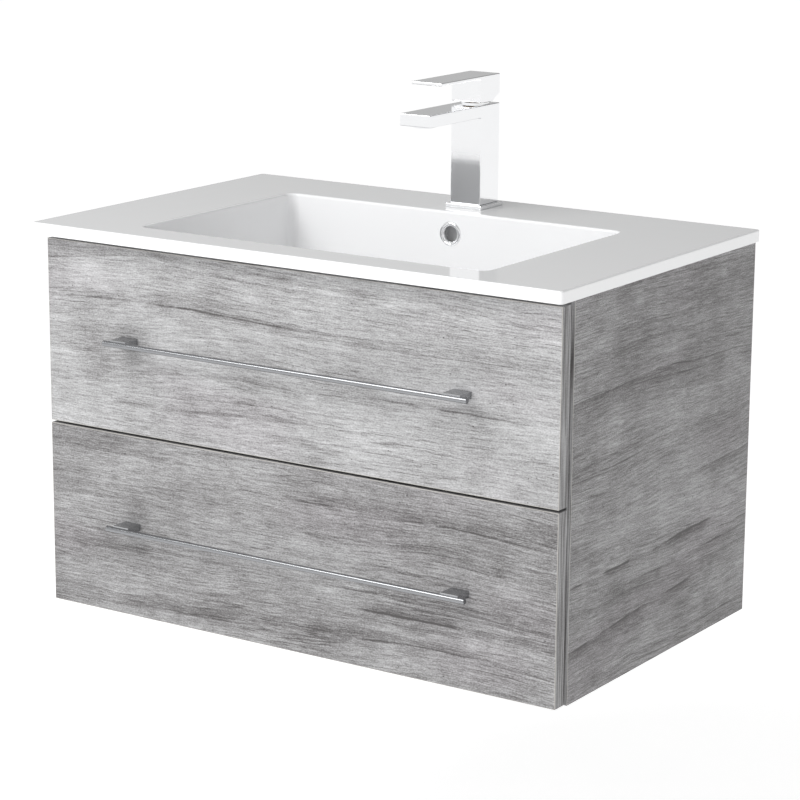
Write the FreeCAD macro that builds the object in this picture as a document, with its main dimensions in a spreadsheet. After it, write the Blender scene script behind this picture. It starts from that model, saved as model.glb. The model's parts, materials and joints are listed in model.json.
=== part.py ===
import FreeCAD, Part
import math
import os
import Sketcher

# Wall-hung bathroom vanity: a two-drawer cabinet, a one-piece basin top and a square single-lever mixer.
# Millimetres. The origin is the centre of the four wall screws, on the wall plane. +X is to the right for
# someone facing the drawers, +Y goes towards the wall and +Z is up.

DIMENSIONS = {
    "cabinet_width": 750, "cabinet_height": 476, "board": 16, "body_depth": 464, "top_height": 245,
    "front_gap": 2, "front_reveal": 3.5, "gap_below_top": 6.5, "gap_between_fronts": 3,
    "front_height": 233.25, "front_thickness": 19, "front_rounding": 0.8, "rail_height": 90,
    "middle_rail_depth": 60, "rail_setback": 2, "rail_clearance": 8, "corner_block": 60, "dowel_radius": 4,
    "dowel_in_side": 10, "dowel_in_rail": 20, "wall_screw_radius": 3.5, "wall_screw_spacing": 600,
    "wall_screw_drop": 45,
    # Basin top
    "sink_width": 762, "sink_thickness": 15, "sink_overhang": 19, "sink_rounding": 2, "sink_corner": 4,
    "bowl_width": 500, "bowl_length": 318, "bowl_front_rim": 52, "bowl_depth": 115, "bowl_wall": 7,
    "bowl_floor": 8, "bowl_draft": 1.5, "bowl_corner": 13, "bowl_floor_rounding": 11, "bowl_rim_rounding": 3,
    "overflow_drop": 29, "overflow_radius": 10, "overflow_sleeve": 11, "overflow_ring_radius": 16,
    "overflow_ring_thickness": 2.5, "overflow_ring_bevel": 1, "overflow_sleeve_length": 6, "duct_width": 40,
    "duct_wall": 4, "duct_depth": 15, "duct_top_drop": 17,
    # Drain
    "drain_setback": 259, "drain_hole": 22.5, "drain_recess": 2.5, "drain_flange_radius": 32,
    "drain_boss_radius": 34, "drain_boss_height": 25, "drain_tube": 22.2, "drain_tube_bore": 19.5,
    "drain_thread": 50, "tailpiece_radius": 16, "tailpiece_bore": 14.5, "tailpiece_end": 120,
    "overflow_slot": 5, "gasket_thickness": 3, "drain_nut_radius": 31, "drain_nut_height": 10,
    "stopper_radius": 31, "stopper_stem": 4, "stopper_height": 5, "stopper_lift": 0.3, "running_fit": 0.05,
    "stem_drop": 42, "flange_bevel": 1, "guide_drop": 26, "guide_height": 4, "guide_width": 3,
    "guide_gap": 0.1, "bush_radius": 7, "bush_drop": 23, "bush_length": 10,
    # Mixer
    "faucet_setback": 57, "faucet_side": 45, "faucet_height": 128, "plate_side": 54, "plate_height": 5,
    "spout_reach": 119, "spout_thickness": 15.5, "metal_rounding": 1, "aerator_radius": 12,
    "aerator_bore": 9, "aerator_depth": 8, "aerator_drop": 3, "aerator_inset": 20, "waterway": 5,
    "screen_thickness": 2, "screen_drop": 1.5,
    "cartridge_radius": 17.5, "cartridge_height": 38, "cartridge_ring": 19, "cartridge_ring_bore": 15.3,
    "cartridge_ring_height": 1.8, "hub_radius": 15, "hub_clearance": 0.3, "hub_thickness": 1.3,
    "stem_width": 12, "stem_depth": 10, "stem_top": 5, "lever_gap": 3.5, "lever_block": 30,
    "lever_plate": 4, "lever_reach": 93, "lever_relief_back": 17, "lever_relief_up": 9,
    "lever_pocket": 26, "lever_pocket_front": 14, "lever_pocket_back": 10, "lever_pocket_depth": 22,
    "pivot_height": 14, "pivot_radius": 2, "pivot_half": 18, "deck_hole": 17.5, "stud_radius": 4,
    "stud_length": 45, "stud_back": 12, "washer_radius": 27, "washer_thickness": 3, "nut_radius": 7.5,
    "nut_height": 6.5, "inlet_radius": 7, "inlet_thread": 4.5, "inlet_length": 14, "inlet_floor": 2,
    "inlet_apart": 17, "inlet_forward": 4,
    # Drawers
    "box_board": 12, "drawer_length": 411, "slide_space": 13, "upper_box_rise": 14.75,
    "upper_box_height": 100, "lower_box_rise": 26, "lower_box_height": 140, "bottom_thickness": 6, "bottom_rise": 4,
    "notch_width": 200, "notch_start": 126, "handle_radius": 3.5, "handle_length": 528,
    "handle_standoff": 24.5, "handle_bevel": 0.5, "post_width": 24, "post_above": 5, "post_below": 3.5,
    "post_spacing": 484, "screw_radius": 2, "screw_bite": 12, "screw_head": 4, "screw_head_height": 2.4,
    "bumper_radius": 4, "bumper_thickness": 1.7, "bumper_inset": 15, "bumper_reach": 364.5,
    # Drawer slides
    "slide_length": 400, "slide_half_height": 22.5, "channel_sheet": 1.4, "channel_lip": 11.5,
    "middle_play": 0.6, "middle_sheet": 1.2, "middle_reach": 12, "runner_play": 0.8, "runner_lip": 9,
}

document = FreeCAD.newDocument("vanity")
dims = document.addObject("Spreadsheet::Sheet", "dims")
for row, (word, value) in enumerate(DIMENSIONS.items(), 1):
    dims.set(f"A{row}", word)
    dims.set(f"B{row}", str(value))
    dims.setAlias(f"B{row}", word)
document.recompute()

TOUCH = 0.01
TURNS = {
    "x": FreeCAD.Rotation(FreeCAD.Vector(0, 1, 0), 90),
    "y": FreeCAD.Rotation(FreeCAD.Vector(1, 0, 0), -90),
    "z": FreeCAD.Rotation(),
}
subparts = []

# Places that several pieces share, as expressions over the sheet.
HALF = "(dims.cabinet_width / 2)"
INNER = "(dims.cabinet_width / 2 - dims.board)"
FACE = "(-dims.body_depth)"
FRONT_BACK = "(-dims.body_depth + dims.front_thickness)"
EDGE = f"({FRONT_BACK} + dims.front_gap)"
TOP = "(dims.top_height)"
UNDER = "(dims.top_height - dims.sink_thickness)"
BOTTOM = f"({UNDER} - dims.cabinet_height)"
SCREW_X = "(dims.wall_screw_spacing / 2)"
BASIN = "(dims.top_height - dims.bowl_depth)"
BASIN_UNDER = f"({BASIN} - dims.bowl_floor)"
BOWL_FRONT = f"({FACE} - dims.sink_overhang + dims.bowl_front_rim)"
BOWL_BACK = f"({BOWL_FRONT} + dims.bowl_length)"
DRAIN_Y = "(-dims.drain_setback)"
SLOT_Z = f"({BASIN_UNDER} - dims.overflow_slot - 1)"
FAUCET_Y = "(-dims.faucet_setback)"
FAUCET_FRONT = f"({FAUCET_Y} - dims.faucet_side / 2)"
FAUCET_BACK = f"({FAUCET_Y} + dims.faucet_side / 2)"
FAUCET_TOP = f"({TOP} + dims.plate_height + dims.faucet_height)"
SPOUT_TIP = f"({FAUCET_FRONT} - dims.spout_reach)"
SPOUT_UNDER = f"({FAUCET_TOP} - dims.spout_thickness)"
AERATOR_Y = f"({SPOUT_TIP} + dims.aerator_inset)"
LEVER_UNDER = f"({FAUCET_TOP} + dims.lever_gap)"
PIVOT_Z = f"({FAUCET_TOP} + dims.pivot_height)"
BOX_HALF = f"({INNER} - dims.slide_space)"
BOX_INSIDE = f"({BOX_HALF} - dims.box_board)"
BOX_BACK = f"({FRONT_BACK} + dims.drawer_length)"
SLIDE_START = f"({EDGE} + dims.rail_setback)"
UPPER_FRONT_TOP = f"({UNDER} - dims.gap_below_top)"
UPPER_FRONT_FOOT = f"({UPPER_FRONT_TOP} - dims.front_height)"
LOWER_FRONT_TOP = f"({UPPER_FRONT_FOOT} - dims.gap_between_fronts)"
LOWER_FRONT_FOOT = f"({LOWER_FRONT_TOP} - dims.front_height)"
UPPER_BOX = f"({UPPER_FRONT_FOOT} + dims.upper_box_rise)"
LOWER_BOX = f"({LOWER_FRONT_FOOT} + dims.lower_box_rise)"


def size(expression):
    """The number that an expression over the sheet comes to."""
    return float(dims.evalExpression(expression))


def keep(piece):
    """Mark a finished sub-part, which is written under its own label."""
    subparts.append(piece)
    return piece


def bind(piece, sizes):
    for name, expression in sizes.items():
        piece.setExpression(name, expression)
    return piece


def place(piece, x="0", y="0", z="0"):
    return bind(piece, {"Placement.Base.x": x, "Placement.Base.y": y, "Placement.Base.z": z})


# Part primitives and booleans

def block(label, x, y, z):
    """A box between a low and a high expression along each axis."""
    piece = document.addObject("Part::Box", label)
    for side, (low, high) in zip(("Length", "Width", "Height"), (x, y, z)):
        piece.setExpression(side, f"({high}) - ({low})")
    return place(piece, x[0], y[0], z[0])


def rod(label, axis, radius, length, x="0", y="0", z="0"):
    """A cylinder that starts at a point and runs along +axis."""
    piece = document.addObject("Part::Cylinder", label)
    piece.Placement = FreeCAD.Placement(FreeCAD.Vector(), TURNS[axis])
    bind(piece, {"Radius": radius, "Height": length})
    return place(piece, x, y, z)


def hexagon(label, radius, length, x="0", y="0", z="0"):
    piece = document.addObject("Part::Prism", label)
    piece.Polygon = 6
    bind(piece, {"Circumradius": radius, "Height": length})
    return place(piece, x, y, z)


def group(label, pieces):
    piece = document.addObject("Part::Compound", label)
    piece.Links = pieces
    return piece


def fuse(label, pieces):
    piece = document.addObject("Part::MultiFuse", label)
    piece.Shapes = pieces
    return piece


def cut(label, base, tool):
    piece = document.addObject("Part::Cut", label)
    piece.Base = base
    piece.Tool = tool
    return piece


def mirror(label, source):
    """The same piece on the other side of the cabinet's middle plane."""
    piece = document.addObject("Part::Mirroring", label)
    piece.Source = source
    piece.Normal = FreeCAD.Vector(1, 0, 0)
    return piece


def pair(label, right):
    """A right-hand piece and its mirror image, as one group."""
    return group(label, [right, mirror(label + "_mirrored", right)])


# PartDesign bodies

def body(label, axis="z", x="0", y="0", z="0"):
    """A body whose own Z axis runs along the named axis."""
    made = document.addObject("PartDesign::Body", label)
    made.Placement = FreeCAD.Placement(FreeCAD.Vector(), TURNS[axis])
    return place(made, x, y, z)


def sketch(owner, plane, offset="0"):
    """A sketch on one of the body's origin planes, moved along the plane's normal by the offset."""
    drawn = owner.newObject("Sketcher::SketchObject", "Sketch")
    origin_plane = next(item for item in owner.Origin.OriginFeatures if item.Role == plane)
    drawn.AttachmentSupport = [(origin_plane, "")]
    drawn.MapMode = "FlatFace"
    drawn.setExpression("AttachmentOffset.Base.z", offset)
    return drawn


def pin_point(drawn, geometry, point, across, up):
    """Hold one point of a sketch at two expressions from the sketch's origin."""
    for kind, expression in (("DistanceX", across), ("DistanceY", up)):
        held = drawn.addConstraint(Sketcher.Constraint(kind, -1, 1, geometry, point, size(expression)))
        drawn.setExpression(f"Constraints[{held}]", expression)


def outline(drawn, corners):
    """A closed polygon whose corners are pairs of expressions."""
    points = [FreeCAD.Vector(size(across), size(up), 0) for across, up in corners]
    count = len(points)
    first = drawn.GeometryCount
    for index in range(count):
        drawn.addGeometry(Part.LineSegment(points[index], points[(index + 1) % count]), False)
    for index in range(count):
        following = (index + 1) % count
        drawn.addConstraint(Sketcher.Constraint("Coincident", first + index, 2, first + following, 1))
    for index, (across, up) in enumerate(corners):
        pin_point(drawn, first + index, 1, across, up)


def circle(drawn, across, up, radius):
    centre = FreeCAD.Vector(size(across), size(up), 0)
    round_edge = Part.Circle(centre, FreeCAD.Vector(0, 0, 1), size(radius))
    geometry = drawn.addGeometry(round_edge, False)
    pin_point(drawn, geometry, 3, across, up)
    held = drawn.addConstraint(Sketcher.Constraint("Radius", geometry, size(radius)))
    drawn.setExpression(f"Constraints[{held}]", radius)


def rounded_rectangle(drawn, across, up, radius):
    """A rectangle between low and high expressions, with four equal corner arcs."""
    corners = [(across[0], up[0], "+", "+"), (across[1], up[0], "-", "+"),
               (across[1], up[1], "-", "-"), (across[0], up[1], "+", "-")]
    arcs = []
    for index, (corner_across, corner_up, sign_across, sign_up) in enumerate(corners):
        centre_across = f"({corner_across}) {sign_across} ({radius})"
        centre_up = f"({corner_up}) {sign_up} ({radius})"
        centre = FreeCAD.Vector(size(centre_across), size(centre_up), 0)
        whole = Part.Circle(centre, FreeCAD.Vector(0, 0, 1), size(radius))
        start = (index + 2) * math.pi / 2
        arc = Part.ArcOfCircle(whole, start, start + math.pi / 2)
        geometry = drawn.addGeometry(arc, False)
        pin_point(drawn, geometry, 3, centre_across, centre_up)
        held = drawn.addConstraint(Sketcher.Constraint("Radius", geometry, size(radius)))
        drawn.setExpression(f"Constraints[{held}]", radius)
        arcs.append((geometry, arc))
    for index, (geometry, arc) in enumerate(arcs):
        next_geometry, next_arc = arcs[(index + 1) % len(arcs)]
        line = drawn.addGeometry(Part.LineSegment(arc.EndPoint, next_arc.StartPoint), False)
        drawn.addConstraint(Sketcher.Constraint("Tangent", geometry, 2, line, 1))
        drawn.addConstraint(Sketcher.Constraint("Tangent", line, 2, next_geometry, 1))


def pad(owner, drawn, length, down=False, draft="0"):
    made = owner.newObject("PartDesign::Pad", "Pad")
    made.Profile = drawn
    made.Reversed = down
    bind(made, {"Length": length, "TaperAngle": draft})
    return made


def pocket(owner, drawn, length, up=False, draft="0"):
    """Cut a sketch against its plane's normal, or along it when up, and make sure that it cuts."""
    document.recompute()
    before = owner.Shape.Volume
    made = owner.newObject("PartDesign::Pocket", "Pocket")
    made.Profile = drawn
    made.Reversed = up
    bind(made, {"Length": length, "TaperAngle": draft})
    document.recompute()
    if owner.Shape.Volume > before - TOUCH:
        raise RuntimeError(f"{owner.Label}: {made.Name} removes nothing")
    return made


def round_edges(owner, radius, wanted):
    """Fillet the edges of the body so far that a test picks."""
    document.recompute()
    solid = owner.Tip
    names = [f"Edge{number}" for number, edge in enumerate(solid.Shape.Edges, 1) if wanted(edge)]
    if not names:
        raise RuntimeError(f"{owner.Label}: no edge to round")
    made = owner.newObject("PartDesign::Fillet", "Fillet")
    made.Base = (solid, names)
    made.setExpression("Radius", radius)
    return made


def any_edge(edge):
    return True


def level(height):
    """Picks the edges that lie flat at a height."""
    wanted = size(height)
    return lambda edge: abs(edge.BoundBox.ZMin - wanted) < TOUCH and abs(edge.BoundBox.ZMax - wanted) < TOUCH


def eased_board(label, x, y, z, rounding):
    """A board with every edge slightly rounded."""
    made = body(label)
    drawn = sketch(made, "XY_Plane", z[0])
    outline(drawn, [(x[0], y[0]), (x[1], y[0]), (x[1], y[1]), (x[0], y[1])])
    pad(made, drawn, f"({z[1]}) - ({z[0]})")
    round_edges(made, rounding, any_edge)
    return made


def turned(label, profile, axis="z", x="0", y="0", z="0"):
    """A round piece from a profile of (radius, place along the axis) pairs."""
    made = body(label, axis, x, y, z)
    drawn = sketch(made, "XZ_Plane")
    outline(drawn, profile)
    spun = made.newObject("PartDesign::Revolution", "Revolution")
    spun.Profile = drawn
    spun.ReferenceAxis = (drawn, ["V_Axis"])
    spun.Angle = 360
    return made


def ring(label, bore, radius, low, high, x="0", y="0"):
    return turned(label, [(bore, low), (radius, low), (radius, high), (bore, high)], x=x, y=y)


# Cabinet body

def cabinet():
    """Side panels, bottom, back rails and the rail behind the gap between the drawers."""
    rail_x = (f"-{INNER}", INNER)
    rail_y = ("-dims.board", "0")
    upper_rail_z = (f"{UNDER} - dims.rail_height", UNDER)
    lower_rail_z = (f"{BOTTOM} + dims.board", f"{BOTTOM} + dims.board + dims.rail_height")
    middle_rail_top = f"({UPPER_BOX} - dims.rail_clearance)"
    middle_rail_y = (SLIDE_START, f"{SLIDE_START} + dims.middle_rail_depth")

    upper_z = f"({UNDER} - dims.rail_height / 2)"
    lower_z = f"({BOTTOM} + dims.board + dims.rail_height / 2)"
    dowel_places = [("(-dims.board / 2)", f"{z} {side} dims.rail_height / 4")
                    for z in (upper_z, lower_z) for side in "+-"]
    dowel_places += [(f"({SLIDE_START} + dims.middle_rail_depth * {share})",
                      f"({middle_rail_top} - dims.board / 2)") for share in (0.25, 0.75)]
    dowel_places += [(f"({EDGE} * {share})", f"({BOTTOM} + dims.board / 2)") for share in (0.9, 0.5, 0.15)]
    dowels = []
    for number, (y, z) in enumerate(dowel_places):
        length = "dims.dowel_in_rail + dims.dowel_in_side"
        start = f"{INNER} - dims.dowel_in_rail"
        right = rod(f"dowel_{number}", "x", "dims.dowel_radius", length, start, y, z)
        dowels += [right, mirror(f"dowel_{number}_mirrored", right)]
    dowel_group = keep(group("dowels", dowels))

    screws = []
    for side in ("-", ""):
        for z in (f"{UNDER} - dims.wall_screw_drop", f"-({UNDER} - dims.wall_screw_drop)"):
            screws.append(rod("wall_screw_hole", "y", "dims.wall_screw_radius", "3 * dims.board",
                              f"{side}{SCREW_X}", "-2 * dims.board", z))
    openings = group("rail_holes", dowels + screws)

    panel_z = (BOTTOM, UNDER)
    for side, panel_x in (("left", (f"-{HALF}", f"-{INNER}")), ("right", (INNER, HALF))):
        keep(cut(f"side_panel_{side}", block(f"{side}_board", panel_x, (EDGE, "0"), panel_z), dowel_group))
    bottom = block("bottom_board", rail_x, (SLIDE_START, "0"), (BOTTOM, f"{BOTTOM} + dims.board"))
    keep(cut("bottom_panel", bottom, dowel_group))
    keep(cut("back_rail_upper", block("upper_rail_board", rail_x, rail_y, upper_rail_z), openings))
    keep(cut("back_rail_lower", block("lower_rail_board", rail_x, rail_y, lower_rail_z), openings))
    middle_z = (f"{middle_rail_top} - dims.board", middle_rail_top)
    keep(cut("middle_rail", block("middle_rail_board", rail_x, middle_rail_y, middle_z), dowel_group))


def corner_blocks():
    """Triangular blocks in the four top corners, which the basin top rests on and is glued to."""
    blocks = []
    for corner_y, direction in ((SLIDE_START, "+"), ("(-dims.board)", "-")):
        made = body("corner_block")
        drawn = sketch(made, "XY_Plane", f"{UNDER} - dims.board")
        outline(drawn, [(INNER, corner_y), (INNER, f"{corner_y} {direction} dims.corner_block"),
                        (f"{INNER} - dims.corner_block", corner_y)])
        pad(made, drawn, "dims.board")
        blocks += [made, mirror("corner_block_mirrored", made)]
    keep(group("corner_blocks", blocks))


# Basin top, overflow and drain

def basin_top():
    """The slab with its bowl, drain boss, mixer hole, overflow hole and overflow slot, cast in one."""
    made = body("sink_top")
    slab = sketch(made, "XY_Plane", UNDER)
    rounded_rectangle(slab, ("-dims.sink_width / 2", "dims.sink_width / 2"),
                      (f"{FACE} - dims.sink_overhang", "0"), "dims.sink_corner")
    pad(made, slab, "dims.sink_thickness")
    round_edges(made, "dims.sink_rounding", level(TOP))

    bowl_x = ("-dims.bowl_width / 2", "dims.bowl_width / 2")
    shell_x = ("-dims.bowl_width / 2 - dims.bowl_wall", "dims.bowl_width / 2 + dims.bowl_wall")
    shell = sketch(made, "XY_Plane", UNDER)
    rounded_rectangle(shell, shell_x, (f"{BOWL_FRONT} - dims.bowl_wall", f"{BOWL_BACK} + dims.bowl_wall"),
                      "dims.bowl_corner + dims.bowl_wall")
    pad(made, shell, f"{UNDER} - {BASIN_UNDER}", down=True, draft="-dims.bowl_draft")
    round_edges(made, "dims.bowl_floor_rounding", level(BASIN_UNDER))
    boss = sketch(made, "XY_Plane", f"{BASIN_UNDER} + dims.bowl_floor / 2")
    circle(boss, "0", DRAIN_Y, "dims.drain_boss_radius")
    pad(made, boss, "dims.drain_boss_height + dims.bowl_floor / 2", down=True)

    bowl = sketch(made, "XY_Plane", TOP)
    rounded_rectangle(bowl, bowl_x, (BOWL_FRONT, BOWL_BACK), "dims.bowl_corner")
    pocket(made, bowl, "dims.bowl_depth", draft="-dims.bowl_draft")
    round_edges(made, "dims.bowl_floor_rounding", level(BASIN))

    at_top = level(TOP)
    reach = size("dims.bowl_width / 2") + TOUCH
    round_edges(made, "dims.bowl_rim_rounding",
                lambda edge: at_top(edge) and max(-edge.BoundBox.XMin, edge.BoundBox.XMax) < reach)

    recess = sketch(made, "XY_Plane", BASIN)
    circle(recess, "0", DRAIN_Y, "dims.drain_flange_radius")
    pocket(made, recess, "dims.drain_recess")
    drain = sketch(made, "XY_Plane", BASIN)
    circle(drain, "0", DRAIN_Y, "dims.drain_hole")
    pocket(made, drain, "dims.bowl_floor + dims.drain_boss_height + 1")
    deck = sketch(made, "XY_Plane", TOP)
    circle(deck, "0", FAUCET_Y, "dims.deck_hole")
    pocket(made, deck, "dims.sink_thickness")
    overflow = sketch(made, "XZ_Plane", f"-({BOWL_BACK} - 3 * dims.bowl_wall)")
    circle(overflow, "0", f"{TOP} - dims.overflow_drop", "dims.overflow_sleeve")
    pocket(made, overflow, "5 * dims.bowl_wall")
    slot = sketch(made, "XZ_Plane", f"-{DRAIN_Y}")
    circle(slot, "0", SLOT_Z, "dims.overflow_slot")
    pocket(made, slot, "dims.drain_boss_radius + dims.bowl_wall")
    return keep(made)


def overflow_parts(basin):
    """The trim ring in the bowl's back wall, and the duct from it to the slot in the drain boss."""
    lip = "-dims.overflow_ring_thickness"
    bevel = "dims.overflow_ring_bevel"
    overflow_z = f"{TOP} - dims.overflow_drop"
    blank = turned("overflow_ring_blank", [
        ("dims.overflow_radius", lip), (f"dims.overflow_ring_radius - {bevel}", lip),
        ("dims.overflow_ring_radius", f"{lip} + {bevel}"), ("dims.overflow_ring_radius", "0"),
        ("dims.overflow_sleeve", "0"), ("dims.overflow_sleeve", "dims.overflow_sleeve_length"),
        ("dims.overflow_radius", "dims.overflow_sleeve_length"),
    ], axis="y", y=BOWL_BACK, z=overflow_z)
    # The bowl's wall leans, so the back of the ring is cut to lie flat on it.
    keep(cut("overflow_ring", blank, basin))

    # The duct is an elbow that starts inside the bowl's wall and floor, and the basin is then cut from it.
    wall_y = f"({BOWL_BACK} + dims.bowl_wall * 0.3)"
    back_y = f"({BOWL_BACK} + dims.bowl_wall + dims.duct_depth)"
    boss_y = f"({DRAIN_Y} + dims.drain_hole + dims.duct_wall / 2)"
    top_z = f"({TOP} - dims.duct_top_drop)"
    floor_z = f"({BASIN_UNDER} + dims.duct_wall)"
    foot_z = f"({BASIN_UNDER} - dims.duct_depth)"
    outer_x = ("-dims.duct_width / 2", "dims.duct_width / 2")
    inner_x = ("-dims.duct_width / 2 + dims.duct_wall", "dims.duct_width / 2 - dims.duct_wall")
    outer = fuse("duct_outer", [
        block("duct_drop", outer_x, (wall_y, back_y), (foot_z, top_z)),
        block("duct_run", outer_x, (boss_y, back_y), (foot_z, floor_z))])
    inner = fuse("duct_inner", [
        block("duct_drop_bore", inner_x, (f"{wall_y} - 1", f"{back_y} - dims.duct_wall"),
              (f"{foot_z} + dims.duct_wall", f"{top_z} - dims.duct_wall")),
        block("duct_run_bore", inner_x, (f"{boss_y} - 1", f"{back_y} - dims.duct_wall"),
              (f"{foot_z} + dims.duct_wall", f"{floor_z} + 1")),
        rod("duct_mouth", "y", "dims.overflow_sleeve", "dims.bowl_wall + 1", y=BOWL_BACK, z=overflow_z)])
    keep(cut("overflow_duct", cut("duct_shell", outer, inner), basin))


def drain():
    """A push-open waste: flange, threaded tube with tailpiece, gasket, nut, stem guide and stopper."""
    at_drain = {"y": DRAIN_Y, "z": BASIN}
    keep(turned("drain_flange", [
        ("dims.drain_tube_bore", "-dims.drain_recess"), ("dims.drain_flange_radius", "-dims.drain_recess"),
        ("dims.drain_flange_radius", "0"), ("dims.drain_tube_bore + dims.flange_bevel", "0"),
        ("dims.drain_tube_bore", "-dims.flange_bevel"),
    ], **at_drain))

    step = "dims.drain_tube - dims.tailpiece_radius"
    tube = turned("drain_tube", [
        ("dims.drain_tube_bore", "-dims.drain_recess"), ("dims.drain_tube", "-dims.drain_recess"),
        ("dims.drain_tube", "-dims.drain_thread"),
        ("dims.tailpiece_radius", f"-dims.drain_thread - ({step})"),
        ("dims.tailpiece_radius", "-dims.tailpiece_end"), ("dims.tailpiece_bore", "-dims.tailpiece_end"),
        ("dims.tailpiece_bore", f"-dims.drain_thread - ({step})"),
        ("dims.drain_tube_bore", "-dims.drain_thread + 1"),
    ], **at_drain)
    slot = rod("drain_slot", "y", "dims.overflow_slot", "dims.drain_boss_radius", y=DRAIN_Y, z=SLOT_Z)
    keep(cut("drain_body", tube, slot))

    seat = f"({BASIN_UNDER} - dims.drain_boss_height)"
    keep(ring("drain_gasket", "dims.drain_tube", "dims.drain_boss_radius - 1",
              f"{seat} - dims.gasket_thickness", seat, y=DRAIN_Y))
    nut_top = f"({seat} - dims.gasket_thickness)"
    nut = hexagon("drain_nut_blank", "dims.drain_nut_radius", "dims.drain_nut_height", y=DRAIN_Y,
                  z=f"{nut_top} - dims.drain_nut_height")
    nut_bore = rod("drain_nut_bore", "z", "dims.drain_tube", "3 * dims.drain_nut_height", y=DRAIN_Y,
                   z=f"{nut_top} - 2 * dims.drain_nut_height")
    keep(cut("drain_nut", nut, nut_bore))

    long_half, short_half = "(dims.drain_tube_bore - dims.guide_gap)", "(dims.guide_width / 2)"
    guide_z = (f"{BASIN} - dims.guide_drop - dims.guide_height", f"{BASIN} - dims.guide_drop")
    bars = []
    for half_x, half_y in ((long_half, short_half), (short_half, long_half)):
        bar_y = (f"{DRAIN_Y} - {half_y}", f"{DRAIN_Y} + {half_y}")
        bars.append(block("guide_bar", (f"-{half_x}", half_x), bar_y, guide_z))
    bush = rod("guide_bush", "z", "dims.bush_radius", "dims.bush_length", y=DRAIN_Y,
               z=f"{BASIN} - dims.bush_drop - dims.bush_length")
    spider = fuse("guide_spider", bars + [bush])
    guide_bore = rod("guide_bore", "z", "dims.stopper_stem + dims.running_fit", "3 * dims.bush_length",
                     y=DRAIN_Y, z=f"{BASIN} - dims.bush_drop - 2 * dims.bush_length")
    keep(cut("drain_guide", spider, guide_bore))

    stopper = turned("drain_stopper", [
        ("0", "-dims.stem_drop"), ("dims.stopper_stem", "-dims.stem_drop"),
        ("dims.stopper_stem", "dims.stopper_lift"),
        ("dims.stopper_radius", "dims.stopper_lift"), ("dims.stopper_radius", "dims.stopper_height"),
        ("0", "dims.stopper_height"),
    ], **at_drain)
    round_edges(stopper, "dims.stopper_height * 0.6", level("dims.stopper_height"))
    keep(stopper)


# Mixer

def mixer_body():
    """Base plate and the cast column with its spout, bored for the cartridge, aerator and water."""
    half_plate = "dims.plate_side / 2"
    plate = eased_board("faucet_base_plate", (f"-{half_plate}", half_plate),
                        (f"{FAUCET_Y} - {half_plate}", f"{FAUCET_Y} + {half_plate}"),
                        (TOP, f"{TOP} + dims.plate_height"), "dims.metal_rounding")
    keep(plate)

    made = body("faucet_body")
    side = sketch(made, "YZ_Plane", "-dims.faucet_side / 2")
    foot = f"{TOP} + dims.plate_height"
    outline(side, [(FAUCET_FRONT, foot), (FAUCET_BACK, foot), (FAUCET_BACK, FAUCET_TOP),
                   (SPOUT_TIP, FAUCET_TOP), (SPOUT_TIP, SPOUT_UNDER), (FAUCET_FRONT, SPOUT_UNDER)])
    pad(made, side, "dims.faucet_side")
    round_edges(made, "dims.metal_rounding", any_edge)
    bore = sketch(made, "XY_Plane", FAUCET_TOP)
    circle(bore, "0", FAUCET_Y, "dims.cartridge_radius")
    pocket(made, bore, "dims.cartridge_height")
    mouth = sketch(made, "XY_Plane", SPOUT_UNDER)
    circle(mouth, "0", AERATOR_Y, "dims.aerator_radius")
    pocket(made, mouth, "dims.aerator_depth", up=True)
    way = sketch(made, "XZ_Plane", f"-{AERATOR_Y}")
    circle(way, "0", f"{FAUCET_TOP} - dims.spout_thickness / 2", "dims.waterway")
    pocket(made, way, f"{FAUCET_Y} - {AERATOR_Y}")
    keep(made)

    mouth_z = SPOUT_UNDER
    keep(ring("aerator_housing", "dims.aerator_bore", "dims.aerator_radius", f"{mouth_z} - dims.aerator_drop",
              f"{mouth_z} + dims.aerator_depth", y=AERATOR_Y))
    keep(rod("aerator_screen", "z", "dims.aerator_bore", "dims.screen_thickness", y=AERATOR_Y,
             z=f"{mouth_z} - dims.screen_drop"))


def mixer_cartridge():
    """The cartridge, its visible ring, and the hub that swivels in it and carries the lever's pin."""
    keep(rod("cartridge", "z", "dims.cartridge_radius", "dims.cartridge_height", y=FAUCET_Y,
             z=f"{FAUCET_TOP} - dims.cartridge_height"))
    keep(ring("cartridge_ring", "dims.cartridge_ring_bore", "dims.cartridge_ring", FAUCET_TOP,
              f"{FAUCET_TOP} + dims.cartridge_ring_height", y=FAUCET_Y))
    hub_z = f"({FAUCET_TOP} + dims.hub_clearance)"
    hub = fuse("hub_blank", [
        rod("hub_disc", "z", "dims.hub_radius", "dims.hub_thickness", y=FAUCET_Y, z=hub_z),
        block("hub_stem", ("-dims.stem_width / 2", "dims.stem_width / 2"),
              (f"{FAUCET_Y} - dims.stem_depth / 2", f"{FAUCET_Y} + dims.stem_depth / 2"),
              (hub_z, f"{PIVOT_Z} + dims.stem_top"))])
    pin = keep(rod("lever_pin", "x", "dims.pivot_radius", "2 * dims.pivot_half", "-dims.pivot_half", FAUCET_Y,
                   PIVOT_Z))
    keep(cut("swivel_hub", hub, pin))


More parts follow.
